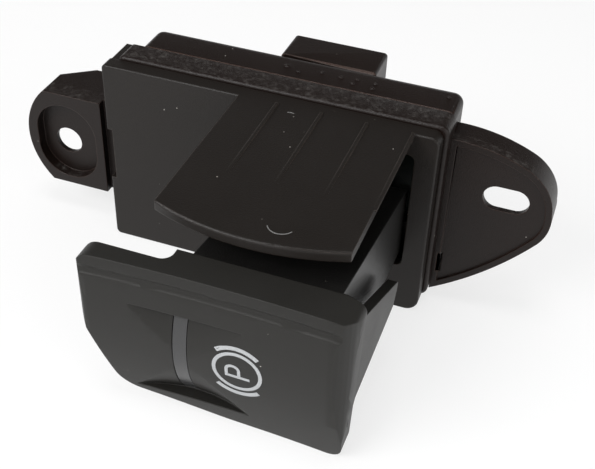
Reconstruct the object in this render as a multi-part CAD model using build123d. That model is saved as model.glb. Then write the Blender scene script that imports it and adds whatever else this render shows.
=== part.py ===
from build123d import *
from math import radians, sqrt
import os

# Sizes are in millimetres. While the pieces are drawn, x runs along the front plate from its
# left edge, y runs back from the plate's face and z runs up from the top of the cover.
# At the end everything moves so that the screw's seat in the left ear is the origin.

# Front cover
COVER_W = 73.2
COVER_H = 45.0
COVER_WALL = 2.2
COVER_EDGE = 3.3
COVER_CORNER_TOP = 2.0
COVER_CORNER_LOW = 3.0
SPIGOT_WALL = 1.6
SPIGOT_DEPTH = 5.7
CHEEK_DEPTH = 11.8
CHEEK_WALL = 2.2
WINDOW_TOP = -16.0
WINDOW_LOW = -28.8
WINDOW_BACK = 8.0
WINDOW_NOTCH = 1.3

# Lever pivot: an upright axis just behind the plate
PIVOT_X = 50.0
PIVOT_Y = 5.5
LEVER_SWING = 6.0
PIN_R = 1.5
PIN_HEAD_R = 2.8
PIN_HEAD = 0.8
CLIP_R = 3.0
CLIP_THICK = 0.6
GROOVE_R = 1.1
BUSH_WALL = 1.05
BUSH_LENGTH = 5.0
BUSH_FLANGE_R = 4.2
BUSH_FLANGE = 0.65
HUB_R = 4.6
LUG_R = 4.8
LUG_THICK = 2.5

# Opening in the plate for the lever
OPENING_TOP = -5.0
OPENING_LOW = -33.2
OPENING_GAP = 1.0

# Guide shelf above the lever, a sector about the pivot
SHELF_R = 47.5
SHELF_LEFT = 31.2
SHELF_RIGHT = 67.7
SHELF_THICK = 2.0
SHELF_RIBS = 4
SHELF_RIB_PITCH = 9.4
SHELF_RIB_FIRST = 40.3
SHELF_RIB_WIDTH = 0.7
SHELF_RIB_RISE = 0.35
SHELF_RIB_LENGTH = 26.0

# Rear housing
RIM_LEFT = 2.4
RIM_RIGHT = 74.2
RIM_RISE = 0.8
RIM_LOW = -43.0
RIM_BACK = 9.3
BODY_LEFT = 4.9
BODY_RIGHT = 74.0
BODY_BACK = 19.2
HOUSING_WALL = 1.8
JOINT_LINE = 0.4
HOUSING_CORNER = 2.0
BODY_CORNER = 3.0
FIT = 0.1

# Left ear with its screw hole
EAR_FACE_Y = 6.8
LEFT_EAR_THICK = 6.4
LEFT_EAR_END = -25.0
LEFT_EAR_TOP = -13.6
LEFT_EAR_LOW = -38.6
LEFT_EAR_INNER = -5.4
HOLE_X = -15.0
HOLE_Z = -27.5
HOLE_R = 3.3
POCKET_R = 7.2
POCKET_DEPTH = 2.6
RECESS_R = 9.0
RECESS_DEPTH = 0.8

# Right ear with its slot
RIGHT_EAR_THICK = 8.5
RIGHT_EAR_END = 96.8
RIGHT_EAR_PLATE = 2.6
EAR_LIP = 1.4
EAR_LIP_RISE = 0.6
SLOT_X = 86.9
SLOT_Z = -15.5
SLOT_LENGTH = 9.3
SLOT_WIDTH = 6.0
SLOT_BOSS = 2.2

# Connector at the back
SHROUD_LEFT = 33.4
SHROUD_RIGHT = 54.6
SHROUD_TOP = 0.6
SHROUD_LOW = -12.4
SHROUD_DEPTH = 8.3
SHROUD_WALL = 1.3
PIN_COUNT = 6
PIN_PITCH = 2.54
PIN_SIDE = 0.64
PIN_Z = -9.6
PIN_REACH = 6.4

# Lever arm
NECK_LEFT = 40.0
NECK_RIGHT = 67.6
NECK_WALL = 1.8
NECK_FRONT = -42.2
NECK_TOP_FRONT = -6.6
NECK_TOP_BACK = -14.5
NECK_LOW_FRONT = -27.5
NECK_LOW_BACK = -30.5
NECK_BACK = 2.0
TAIL_REACH = 6.0
TAIL_WIDTH = 3.0
TAIL_NOSE_R = 1.8
TAIL_TOP = -24.8
TAIL_LOW = -29.6

# Handle cap
KNOB_LEFT = 20.7
KNOB_RIGHT = 72.5
KNOB_TOP = -6.0
KNOB_LOW = -41.4
KNOB_GRIP_BACK = -45.6
FACE_R = 85.0
FACE_APEX_Z = -18.0
FACE_FRONT = -50.6
FACE_HOLLOW_R = 370.0
FACE_HOLLOW = 0.9
LIP_COVE_R = 1.5
LIP_COVE_Z = -9.0
LIP_COVE_DEPTH = 0.9
KNOB_WALL = 2.0
SCOOP_LEFT = 29.5
SCOOP_RIGHT = 54.5
SCOOP_TOP = -14.4
SCOOP_LOW = -37.0
SCOOP_R = 22.0
SCOOP_AXIS_Y = -27.5
SCOOP_AXIS_Z = -23.6
SCOOP_PLAN_R = 30.0
KNOB_ROOM_LOW = -35.0
FLANGE_THICK = 1.4
FIN_THICK = 2.0
FIN_BACK = -15.0

# Lit pieces in the handle
LENS_LEFT = 39.1
LENS_WIDTH = 2.6
LENS_DEPTH = 2.0
LENS_GAP = 0.15
SYMBOL_X = 51.5
SYMBOL_Z = -24.1
SYMBOL_R = 5.6
SYMBOL_DEPTH = 1.4
GUIDE_SIDE = 2.6
GUIDE_Z = -18.8
STRIP_GUIDE_X = 43.2
SYMBOL_GUIDE_X = 58.0
GUIDE_BACK = 11.8

# Circuit board and what sits on it
BOARD_LEFT = 8.0
BOARD_RIGHT = 70.9
BOARD_TOP = -3.0
BOARD_LOW = -39.5
BOARD_FACE_Y = 14.4
BOARD_THICK = 1.6
BOARD_SCREW_INSET = 4.5
BOARD_SCREW_R = 1.1
BOARD_HEAD_R = 2.2
BOARD_HEAD = 1.4
LED_SIZE = 3.0
LED_TALL = 1.3

# Slider that the lever's tail moves, with its springs and stops
SLIDER_LEFT = 38.0
SLIDER_RIGHT = 62.0
SLIDER_FRONT = 10.5
SLIDER_BACK = 13.2
SLIDER_TOP = -24.0
SLIDER_LOW = -32.0
RAIL_WIDTH = 1.2
RAIL_RISE = 1.2
SPRING_R = 1.5
SPRING_WIRE_R = 0.25
SPRING_TURNS = 6
SPRING_Z = -26.2
SPRING_ROOM = 8.4
STOP_THICK = 1.2
STOP_HEIGHT = 2.4
STOP_GAP = 0.15

# Values that follow from the sizes above
RIM_FRONT = COVER_EDGE + FIT
CEILING = RIM_RISE - HOUSING_WALL
FLOOR = RIM_LOW + HOUSING_WALL
SIDE_INSIDE = RIM_RIGHT - HOUSING_WALL
BODY_INSIDE = BODY_LEFT + HOUSING_WALL
BACK_INSIDE = BODY_BACK - HOUSING_WALL
UPPER_LUG_LOW = OPENING_TOP + 0.1
LOWER_LUG_TOP = OPENING_LOW
BUSH_R = PIN_R + 0.05 + BUSH_WALL
HUB_TOP = UPPER_LUG_LOW - FIT - BUSH_FLANGE
HUB_LOW = LOWER_LUG_TOP + FIT + BUSH_FLANGE
PIN_TOP = UPPER_LUG_LOW + LUG_THICK
CLIP_TOP = LOWER_LUG_TOP - LUG_THICK - 0.05
PIN_LOW = CLIP_TOP - CLIP_THICK - 1.2
LEVER_TRAVEL = TAIL_REACH * radians(LEVER_SWING)
TAIL_Y = PIVOT_Y + TAIL_REACH
FACE_AXIS_Y = FACE_FRONT + FACE_R
KNOB_MIDDLE = (KNOB_LEFT + KNOB_RIGHT) / 2
SCOOP_MIDDLE = (SCOOP_LEFT + SCOOP_RIGHT) / 2


def rect(x0, x1, y0, y1):
    """A rectangle between two corners of the drawing plane."""
    return Pos((x0 + x1) / 2, (y0 + y1) / 2) * Rectangle(x1 - x0, y1 - y0)


def rounded(x0, x1, y0, y1, low_left, low_right, top_right, top_left):
    """A rectangle whose four corners have radii of their own."""
    face = rect(x0, x1, y0, y1)
    corners = ((x0, y0, low_left), (x1, y0, low_right), (x1, y1, top_right), (x0, y1, top_left))
    for x, y, radius in corners:
        if radius > 0:
            corner = face.vertices().sort_by_distance((x, y, 0))[0]
            face = fillet(corner, radius)
    return face


def deep(outline, y0, y1):
    """Extrude an outline drawn in x and z from depth y0 to depth y1."""
    return extrude(Plane.XZ.offset(-y0) * outline, amount=y1 - y0, dir=(0, 1, 0))


def tall(outline, z0, z1):
    """Extrude an outline drawn in x and y from height z0 to height z1."""
    return extrude(Plane.XY.offset(z0) * outline, amount=z1 - z0, dir=(0, 0, 1))


def wide(outline, x0, x1):
    """Extrude an outline drawn in y and z from x0 to x1."""
    return extrude(Plane.YZ.offset(x0) * outline, amount=x1 - x0, dir=(1, 0, 0))


def block(x0, x1, y0, y1, z0, z1):
    return tall(rect(x0, x1, y0, y1), z0, z1)


def upright(x, y, radius, z0, z1):
    """A round post about an upright axis."""
    return tall(Pos(x, y) * Circle(radius), z0, z1)


def along_y(x, z, radius, y0, y1):
    """A round post or hole about an axis that runs front to back."""
    return deep(Pos(x, z) * Circle(radius), y0, y1)


def cover_outline(inset):
    return rounded(
        inset, COVER_W - inset, inset - COVER_H, -inset,
        1.2, COVER_CORNER_LOW, COVER_CORNER_TOP, 1.0,
    )


def spigot_outline(inset):
    """The cover's inner collar, which slides inside the rim of the rear housing."""
    return rounded(
        RIM_LEFT + HOUSING_WALL + FIT + inset, SIDE_INSIDE - FIT - inset,
        FLOOR + FIT + inset, CEILING - FIT - inset,
        1.0, 1.0, 1.0, 1.0,
    )


def shelf_outline():
    """The shelf is a sector about the lever's axis, cut by its two straight sides."""
    sector = Pos(PIVOT_X, PIVOT_Y) * Circle(SHELF_R)
    return sector & rect(SHELF_LEFT, SHELF_RIGHT, PIVOT_Y - SHELF_R - 1, COVER_WALL)


def shelf_rib(x):
    """A low rib that fades into the shelf towards the handle."""
    side = Polygon(
        (0, -SHELF_RIB_RISE), (0, SHELF_RIB_RISE), (-SHELF_RIB_LENGTH, 0),
        (-SHELF_RIB_LENGTH, -SHELF_RIB_RISE), align=None,
    )
    return wide(side, x - SHELF_RIB_WIDTH / 2, x + SHELF_RIB_WIDTH / 2)


def pivot_lug(z0, z1):
    """A tongue behind the plate that holds one end of the pivot pin."""
    tongue = rect(PIVOT_X - LUG_R, PIVOT_X + LUG_R, COVER_WALL / 2, PIVOT_Y)
    return tall(tongue + Pos(PIVOT_X, PIVOT_Y) * Circle(LUG_R), z0, z1)


def front_cover():
    plate = deep(cover_outline(0), 0, COVER_EDGE)
    plate -= deep(cover_outline(COVER_WALL), COVER_WALL, COVER_EDGE)
    front_edges = plate.faces().sort_by(Axis.Y)[0].edges()
    plate = fillet(front_edges, 0.4)
    spigot = deep(spigot_outline(0) - spigot_outline(SPIGOT_WALL), COVER_WALL / 2, COVER_EDGE + SPIGOT_DEPTH)
    cheek = block(0, CHEEK_WALL, COVER_WALL / 2, CHEEK_DEPTH, -COVER_H + 1.5, -1.0)
    shelf = tall(shelf_outline(), -SHELF_THICK, 0)
    shelf = fillet(shelf.edges().filter_by(GeomType.CIRCLE).group_by(Axis.Z)[-1], 0.5)
    cover = plate + spigot + cheek + shelf
    for i in range(SHELF_RIBS):
        cover += shelf_rib(SHELF_RIB_FIRST + i * SHELF_RIB_PITCH - SHELF_RIB_WIDTH)
    cover += pivot_lug(UPPER_LUG_LOW, UPPER_LUG_LOW + LUG_THICK)
    cover += pivot_lug(LOWER_LUG_TOP - LUG_THICK, LOWER_LUG_TOP)
    opening = rounded(
        NECK_LEFT - OPENING_GAP, NECK_RIGHT + OPENING_GAP, OPENING_LOW, OPENING_TOP, 1.5, 1.5, 1.5, 1.5,
    )
    cover -= deep(opening, -1, COVER_EDGE)
    cover -= upright(PIVOT_X, PIVOT_Y, PIN_R + 0.02, PIN_LOW, PIN_TOP + 1)
    cover -= upright(PIVOT_X, PIVOT_Y, PIN_HEAD_R + 0.2, PIN_TOP, CEILING)
    window = block(-1, CHEEK_WALL + FIT, COVER_EDGE, WINDOW_BACK, WINDOW_LOW, WINDOW_TOP)
    notch = block(-1, WINDOW_NOTCH, -1, WINDOW_BACK, WINDOW_LOW, WINDOW_TOP)
    return cover - window - notch


def left_ear():
    outline = Polygon(
        (RIM_LEFT + HOUSING_WALL, LEFT_EAR_TOP), (LEFT_EAR_END, LEFT_EAR_TOP), (LEFT_EAR_END, -30.5),
        (-19.5, LEFT_EAR_LOW), (RIM_LEFT + HOUSING_WALL, LEFT_EAR_LOW), align=None,
    )
    for x, z, radius in ((LEFT_EAR_END, LEFT_EAR_TOP, 9.0), (LEFT_EAR_END, -30.5, 4.0), (-19.5, LEFT_EAR_LOW, 3.0)):
        corner = outline.vertices().sort_by_distance((x, z, 0))[0]
        outline = fillet(corner, radius)
    back = EAR_FACE_Y + LEFT_EAR_THICK
    ear = deep(outline, EAR_FACE_Y, back)
    web_front = EAR_FACE_Y + LEFT_EAR_THICK / 2
    ear -= block(LEFT_EAR_INNER, 0.0, EAR_FACE_Y - 1, web_front, LEFT_EAR_LOW + 2.0, LEFT_EAR_TOP - 2.0)
    ear -= block(-FIT, RIM_LEFT - FIT, 0, CHEEK_DEPTH + FIT, LEFT_EAR_LOW - 1, LEFT_EAR_TOP + 1)
    ear -= block(-3.4, -0.6, 0, back + 1, -26.5, -19.0)
    gusset = Polygon(
        (-12.0, LEFT_EAR_TOP - 1.0), (BODY_LEFT + HOUSING_WALL, LEFT_EAR_TOP - 1.0),
        (BODY_LEFT + HOUSING_WALL, -3.0), (BODY_LEFT - 2.0, -3.0), align=None,
    )
    ear += deep(gusset, CHEEK_DEPTH + 0.3, back)
    ear += block(-8.0, BODY_LEFT + HOUSING_WALL, back - 0.8, BODY_BACK - 1.0, LEFT_EAR_TOP - 1.8, LEFT_EAR_TOP)
    ear += block(-8.0, BODY_LEFT + HOUSING_WALL, back - 0.8, BODY_BACK - 1.0, LEFT_EAR_LOW, LEFT_EAR_LOW + 1.8)
    ear -= along_y(HOLE_X, HOLE_Z, RECESS_R, 0, EAR_FACE_Y + RECESS_DEPTH)
    ear -= along_y(HOLE_X, HOLE_Z, POCKET_R, 0, EAR_FACE_Y + POCKET_DEPTH)
    return ear - along_y(HOLE_X, HOLE_Z, HOLE_R, 0, back + 1)


def right_ear_outline(inset):
    """A D shape: a flat crown, a tight shoulder and a long sweep down to the housing's foot."""
    root = RIM_RIGHT - HOUSING_WALL
    crown = ThreePointArc((root, -5.2 - inset), (82.5, -4.4 - inset), (90.8 - inset / 3, -6.2 - inset))
    shoulder = ThreePointArc(crown @ 1, (95.2 - inset, -10.0 - inset / 2), (RIGHT_EAR_END - inset, -16.0))
    sweep_down = ThreePointArc(shoulder @ 1, (92.6 - inset, -28.4 + inset / 2), (root, -42.6 + inset * 1.6))
    return make_face([crown, shoulder, sweep_down, Line(sweep_down @ 1, crown @ 0)])


def slot_outline(grow):
    return Pos(SLOT_X, SLOT_Z) * SlotOverall(SLOT_LENGTH + 2 * grow, SLOT_WIDTH + 2 * grow)


def right_ear():
    back = EAR_FACE_Y + RIGHT_EAR_THICK
    ear = deep(right_ear_outline(0), EAR_FACE_Y, back)
    ear -= deep(right_ear_outline(EAR_LIP), EAR_FACE_Y + RIGHT_EAR_PLATE, back + 1)
    ear -= deep(right_ear_outline(EAR_LIP), EAR_FACE_Y - 1, EAR_FACE_Y + EAR_LIP_RISE)
    ear += deep(slot_outline(SLOT_BOSS), EAR_FACE_Y + EAR_LIP_RISE, back)
    for z in (-12.0, -24.0, -33.0):
        rib = deep(rect(RIM_RIGHT - 1, SLOT_X + 8, z - 0.7, z + 0.7), EAR_FACE_Y + RIGHT_EAR_PLATE - 0.5, back)
        ear += rib & deep(right_ear_outline(0.5), EAR_FACE_Y, back)
    ear -= deep(slot_outline(0), 0, back + 1)
    for z in (-12.5, -35.5):
        ear -= block(RIM_RIGHT + 0.6, RIM_RIGHT + 1.6, 0, back + 1, z - 2.6, z + 2.6)
    return ear


def housing_shell():
    """The rim and the body behind it, hollow and open to the front."""
    rim = deep(
        rounded(RIM_LEFT, RIM_RIGHT, RIM_LOW, RIM_RISE, 1.5, HOUSING_CORNER, HOUSING_CORNER, 1.0),
        RIM_FRONT, RIM_BACK,
    )
    rim = fillet(rim.faces().sort_by(Axis.Y)[0].edges(), 0.7)
    body = deep(
        rounded(BODY_LEFT, BODY_RIGHT, RIM_LOW, RIM_RISE, 1.5, HOUSING_CORNER, HOUSING_CORNER, 1.5),
        RIM_BACK - 0.01, BODY_BACK,
    )
    upright_back = body.faces().sort_by(Axis.Y)[-1].edges().filter_by(Axis.Z)
    body = fillet(upright_back, BODY_CORNER)
    joint = deep(rect(RIM_LEFT - 9, RIM_RIGHT + 9, RIM_RISE - JOINT_LINE, RIM_RISE + 1), RIM_BACK, RIM_BACK + JOINT_LINE)
    shell = rim + body - joint
    mouth = rounded(
        RIM_LEFT + HOUSING_WALL, SIDE_INSIDE, FLOOR, CEILING, 0.8, 0.8, 0.8, 0.8,
    )
    room = rounded(BODY_INSIDE, SIDE_INSIDE, FLOOR, CEILING, 0.8, 0.8, 0.8, 0.8)
    return shell - deep(mouth, 0, RIM_BACK) - deep(room, RIM_BACK - 1, BACK_INSIDE)


def connector_shroud():
    """A rectangular socket at the top of the back wall, open to the rear."""
    back = BODY_BACK + SHROUD_DEPTH
    shroud = deep(
        rounded(SHROUD_LEFT, SHROUD_RIGHT, SHROUD_LOW, SHROUD_TOP, 0.8, 0.8, 0.8, 0.8), BODY_BACK - 0.5, back,
    )
    cavity = rounded(
        SHROUD_LEFT + SHROUD_WALL, SHROUD_RIGHT - SHROUD_WALL, SHROUD_LOW + SHROUD_WALL,
        SHROUD_TOP - SHROUD_WALL, 0.5, 0.5, 0.5, 0.5,
    )
    return shroud - deep(cavity, BODY_BACK, back + 1)


def header_outline(grow):
    half = PIN_COUNT * PIN_PITCH / 2 + grow
    middle = (SHROUD_LEFT + SHROUD_RIGHT) / 2
    return rect(middle - half, middle + half, PIN_Z - 1.5 - grow, PIN_Z + 1.5 + grow)


def board_screw_places():
    for x in (BOARD_LEFT + BOARD_SCREW_INSET, BOARD_RIGHT - BOARD_SCREW_INSET):
        for z in (BOARD_LOW + BOARD_SCREW_INSET, BOARD_TOP - BOARD_SCREW_INSET):
            yield x, z


def slider_rail():
    """The ledge that the slider runs on, with its key and the two posts that hold springs and stops."""
    left_post = SLIDER_LEFT - SPRING_ROOM
    right_post = SLIDER_RIGHT + SPRING_ROOM
    top = SLIDER_LOW - FIT
    ledge = block(left_post - 2, right_post + 2, SLIDER_FRONT, SLIDER_BACK - 0.5, FLOOR - 0.5, top)
    ledge = ledge & block(0, SIDE_INSIDE + 0.5, 0, BODY_BACK, RIM_LOW, 0)
    middle_y = (SLIDER_FRONT + SLIDER_BACK) / 2
    key = block(
        SLIDER_LEFT, SLIDER_RIGHT, middle_y - RAIL_WIDTH / 2, middle_y + RAIL_WIDTH / 2, top - 0.5, top + RAIL_RISE,
    )
    posts = block(left_post - 2, left_post, SLIDER_FRONT, SLIDER_BACK, top - 0.5, SLIDER_TOP)
    posts += block(right_post, SIDE_INSIDE + 0.5, SLIDER_FRONT, SLIDER_BACK, top - 0.5, SLIDER_TOP)
    reach = LEVER_TRAVEL + STOP_GAP + STOP_THICK
    for x0, x1 in ((left_post - 1, SLIDER_LEFT - reach), (SLIDER_RIGHT + reach, right_post + 1)):
        posts += block(x0, x1, SLIDER_FRONT, SLIDER_BACK, top - 0.5, SLIDER_LOW + STOP_HEIGHT)
    return ledge + key + posts


def latch_hook():
    """The wedge on the housing's left wall that snaps into the window of the cover's cheek."""
    side = Polygon(
        (RIM_LEFT + 0.3, COVER_EDGE + 0.6), (CHEEK_WALL - 1.6, WINDOW_BACK - 1.6), (CHEEK_WALL - 1.6, WINDOW_BACK - 0.2),
        (RIM_LEFT + 0.3, WINDOW_BACK - 0.2), align=None,
    )
    return tall(side, WINDOW_LOW + 1.0, WINDOW_TOP - 1.0)


def rear_housing():
    housing = housing_shell() + left_ear() + right_ear() + connector_shroud() + latch_hook()
    housing -= deep(rounded(
        RIM_LEFT + HOUSING_WALL, SIDE_INSIDE, FLOOR, CEILING, 0.8, 0.8, 0.8, 0.8), 0, RIM_BACK)
    housing += slider_rail()
    for x, z in board_screw_places():
        housing += along_y(x, z, BOARD_HEAD_R + 0.6, BOARD_FACE_Y + BOARD_THICK, BACK_INSIDE + 0.5)
        housing -= along_y(x, z, BOARD_SCREW_R + 0.02, BOARD_FACE_Y, BODY_BACK - 0.5)
    return housing - deep(header_outline(FIT), BACK_INSIDE - 1, BODY_BACK + 0.1)


def neck_side(inset, y_front, y_back):
    """The neck's outline from the side: it tapers towards the plate."""
    def level(front, back, y):
        return front + (back - front) * (y - NECK_FRONT) / (NECK_BACK - NECK_FRONT)
    return Polygon(
        (y_front, level(NECK_TOP_FRONT, NECK_TOP_BACK, y_front) - inset),
        (y_back, level(NECK_TOP_FRONT, NECK_TOP_BACK, y_back) - inset),
        (y_back, level(NECK_LOW_FRONT, NECK_LOW_BACK, y_back) + inset),
        (y_front, level(NECK_LOW_FRONT, NECK_LOW_BACK, y_front) + inset), align=None,
    )


def knob_room(inset):
    """The hollow in the cap's right part, which the arm's front flange closes."""
    return rounded(
        NECK_LEFT - 2.5 + inset, NECK_RIGHT + 0.5 - inset, KNOB_ROOM_LOW + inset,
        KNOB_TOP - KNOB_WALL - inset, 2.0, 2.0, 1.0, 1.0,
    )


def lever_arm():
    neck = wide(neck_side(0, NECK_FRONT, NECK_BACK), NECK_LEFT, NECK_RIGHT)
    neck = fillet(neck.edges().filter_by(Axis.X).group_by(Axis.Y)[-1], 1.0)
    neck -= wide(neck_side(NECK_WALL, NECK_FRONT - 1, NECK_BACK - NECK_WALL), NECK_LEFT + NECK_WALL, NECK_RIGHT - NECK_WALL)
    flange = deep(knob_room(FIT), NECK_FRONT - FLANGE_THICK, NECK_FRONT)
    arm = neck + flange
    hub = upright(PIVOT_X, PIVOT_Y, HUB_R, HUB_LOW, HUB_TOP)
    hub += block(PIVOT_X - 3.5, PIVOT_X + 3.5, NECK_BACK - 1, PIVOT_Y, NECK_LOW_BACK + 2, HUB_TOP - 4)
    tail = block(PIVOT_X - TAIL_WIDTH / 2, PIVOT_X + TAIL_WIDTH / 2, PIVOT_Y, TAIL_Y, TAIL_LOW, TAIL_TOP)
    tail += upright(PIVOT_X, TAIL_Y, TAIL_NOSE_R, TAIL_LOW, TAIL_TOP)
    arm += hub + tail
    arm -= upright(PIVOT_X, PIVOT_Y, BUSH_R + 0.02, HUB_LOW - 1, HUB_TOP + 1)
    for x in (STRIP_GUIDE_X, SYMBOL_GUIDE_X):
        arm -= deep(Pos(x, GUIDE_Z) * Rectangle(GUIDE_SIDE + 2 * FIT, GUIDE_SIDE + 2 * FIT), NECK_FRONT - 3, NECK_BACK + 1)
    return arm


def face_tool(axis_y, axis_z, radius, hollow_r, x_middle, half_width, reach):
    """A ring about a sideways axis whose bore is pinched in the middle, so it cuts a saddle."""
    sag = hollow_r - sqrt(hollow_r ** 2 - half_width ** 2)
    bore = ThreePointArc((-half_width, radius + sag), (0, radius), (half_width, radius + sag))
    far = radius + reach
    ring = make_face([
        bore, Line((half_width, radius + sag), (half_width, far)), Line((half_width, far), (-half_width, far)),
        Line((-half_width, far), (-half_width, radius + sag)),
    ])
    turned = Plane(origin=(x_middle, axis_y, axis_z), x_dir=(1, 0, 0), z_dir=(0, 0, 1)) * ring
    return revolve(turned, Axis((x_middle, axis_y, axis_z), (1, 0, 0)), 360)


def knob_plan():
    """The cap from above: a thin grip on the left and a deeper part around the neck."""
    far = FACE_FRONT - 4
    grip = rect(KNOB_LEFT, KNOB_RIGHT, far, KNOB_GRIP_BACK)
    root = rect(NECK_LEFT - 2.5 - 0.2, KNOB_RIGHT, far, NECK_FRONT)
    plan = grip + root
    inner = plan.vertices().sort_by_distance((NECK_LEFT - 2.7, KNOB_GRIP_BACK, 0))[0]
    plan = fillet(inner, 2.2)
    outer = plan.vertices().sort_by_distance((KNOB_RIGHT, NECK_FRONT, 0))[0]
    plan = chamfer(outer, 1.4, 4.0)
    tip = plan.vertices().sort_by_distance((KNOB_LEFT, KNOB_GRIP_BACK, 0))[0]
    return fillet(tip, 1.6)


def knob_front():
    """The cap from the front: square shoulders, a tapered left end and a bowed lower edge."""
    outline = Polygon(
        (KNOB_LEFT, KNOB_TOP), (KNOB_RIGHT, KNOB_TOP), (KNOB_RIGHT - 1.4, KNOB_LOW), (48.0, KNOB_LOW + 0.4),
        (27.4, KNOB_LOW + 3.6), (KNOB_LEFT, -19.0), align=None,
    )
    rounds = (
        (KNOB_LEFT, KNOB_TOP, 3.4), (KNOB_RIGHT, KNOB_TOP, 1.6), (KNOB_RIGHT - 1.4, KNOB_LOW, 3.2),
        (48.0, KNOB_LOW + 0.4, 60.0), (27.4, KNOB_LOW + 3.6, 6.0), (KNOB_LEFT, -19.0, 30.0),
    )
    for x, z, radius in rounds:
        corner = outline.vertices().sort_by_distance((x, z, 0))[0]
        outline = fillet(corner, radius)
    return outline


def lip_cove():
    """The groove under the cap's upper edge, which leaves the edge standing as a lip."""
    half = (KNOB_RIGHT - KNOB_LEFT) / 2 + 2
    mid_y = FACE_FRONT + 0.9 - LIP_COVE_R + LIP_COVE_DEPTH
    sag = half ** 2 / (2 * FACE_HOLLOW_R)
    path = ThreePointArc(
        (KNOB_MIDDLE - half, mid_y - sag, LIP_COVE_Z), (KNOB_MIDDLE, mid_y, LIP_COVE_Z),
        (KNOB_MIDDLE + half, mid_y - sag, LIP_COVE_Z),
    )
    section = Plane(origin=path @ 0, z_dir=path % 0) * Circle(LIP_COVE_R)
    return sweep(section, path=path)


def scoop_tool():
    ring = face_tool(
        SCOOP_AXIS_Y, SCOOP_AXIS_Z, SCOOP_R, SCOOP_PLAN_R, SCOOP_MIDDLE, (SCOOP_RIGHT - SCOOP_LEFT) / 2 + 3, 9.0,
    )
    return ring & block(0, COVER_W, FACE_FRONT - 9, KNOB_GRIP_BACK + 4, SCOOP_LOW, SCOOP_TOP)


def knob_outside():
    far = FACE_FRONT - 4
    body = tall(knob_plan(), KNOB_LOW - 1, KNOB_TOP) & deep(knob_front(), far, NECK_FRONT)
    face = face_tool(FACE_AXIS_Y, FACE_APEX_Z, FACE_R - FACE_HOLLOW, FACE_HOLLOW_R, KNOB_MIDDLE, 30.0, 9.0)
    return body - face


def knob_fin():
    """The wall that sweeps back from the cap's right end beside the neck."""
    side = Polygon(
        (-47.0, -9.0), (NECK_FRONT, -10.6), (FIN_BACK, -24.0), (FIN_BACK - 3.0, -28.4), (NECK_FRONT, -30.0),
        (-46.0, -34.0), align=None,
    )
    corner = side.vertices().sort_by_distance((FIN_BACK, -24.0, 0))[0]
    side = fillet(corner, 1.5)
    return wide(side, KNOB_RIGHT - 1.0 - FIN_THICK, KNOB_RIGHT - 1.0)


def lens_blank(gap):
    """The strip's block through the scoop, wider by the gap on each side."""
    x0 = LENS_LEFT - gap
    x1 = LENS_LEFT + LENS_WIDTH + gap
    return block(x0, x1, FACE_FRONT - 2, NECK_FRONT - 1, SCOOP_LOW + 0.3 - gap, SCOOP_TOP - 0.3 + gap)


def scoop_shell(r0, r1, hollow):
    """A curved layer behind the scoop's surface, between two radii."""
    inner = face_tool(SCOOP_AXIS_Y, SCOOP_AXIS_Z, r0, hollow, SCOOP_MIDDLE, 14.0, 12.0)
    outer = face_tool(SCOOP_AXIS_Y, SCOOP_AXIS_Z, r1, hollow, SCOOP_MIDDLE, 14.0, 14.0)
    return inner - outer


def symbol_seat(grow):
    """The round place behind the handle's face for the piece that lights the symbol."""
    front = FACE_AXIS_Y - FACE_R + FACE_HOLLOW + 0.9
    return along_y(SYMBOL_X, SYMBOL_Z, SYMBOL_R + grow, front - grow, front + SYMBOL_DEPTH + grow)


def knob_cap():
    cap = knob_outside() - lip_cove() - scoop_tool()
    room = deep(knob_room(0), FACE_FRONT, NECK_FRONT + 1)
    inner_face = face_tool(FACE_AXIS_Y, FACE_APEX_Z, FACE_R - FACE_HOLLOW - KNOB_WALL, FACE_HOLLOW_R, KNOB_MIDDLE, 30.0, 9.0)
    inner_scoop = face_tool(
        SCOOP_AXIS_Y, SCOOP_AXIS_Z, SCOOP_R - KNOB_WALL, SCOOP_PLAN_R, SCOOP_MIDDLE, 16.0, 9.0,
    ) & block(0, COVER_W, FACE_FRONT - 9, NECK_FRONT + 3, SCOOP_LOW - KNOB_WALL, SCOOP_TOP + KNOB_WALL)
    cap -= room - inner_face - inner_scoop
    cap += knob_fin()
    cap -= lens_blank(LENS_GAP)
    return cap - symbol_seat(0.05)


def indicator_lens():
    layer = scoop_shell(SCOOP_R - LENS_DEPTH, SCOOP_R - 0.05, SCOOP_PLAN_R)
    return layer & lens_blank(0)


def symbol_diffuser():
    return symbol_seat(0)


def guide_rod(x, y_front):
    half = GUIDE_SIDE / 2
    return block(x - half, x + half, y_front, GUIDE_BACK, GUIDE_Z - half, GUIDE_Z + half)


def strip_light_guide():
    """A square rod through the neck, a sideways step and a curved blade behind the strip."""
    half = GUIDE_SIDE / 2
    turn_y = NECK_FRONT - FLANGE_THICK - 0.3
    blade_x = LENS_LEFT + LENS_WIDTH / 2
    blade_half = LENS_WIDTH / 2
    blade = scoop_shell(SCOOP_R - LENS_DEPTH - 1.5, SCOOP_R - LENS_DEPTH - FIT, SCOOP_PLAN_R)
    blade &= block(
        blade_x - blade_half, blade_x + blade_half, FACE_FRONT - 2, turn_y, KNOB_ROOM_LOW + 0.5, SCOOP_TOP - 1.0,
    )
    step = Polygon(
        (STRIP_GUIDE_X + half, turn_y + 0.2), (STRIP_GUIDE_X - half, turn_y + 0.2),
        (blade_x - blade_half, turn_y - 1.6), (blade_x - blade_half, turn_y - 2.4),
        (blade_x + blade_half, turn_y - 2.4), align=None,
    )
    return guide_rod(STRIP_GUIDE_X, turn_y) + tall(step, GUIDE_Z - half, GUIDE_Z + half) + blade


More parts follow.
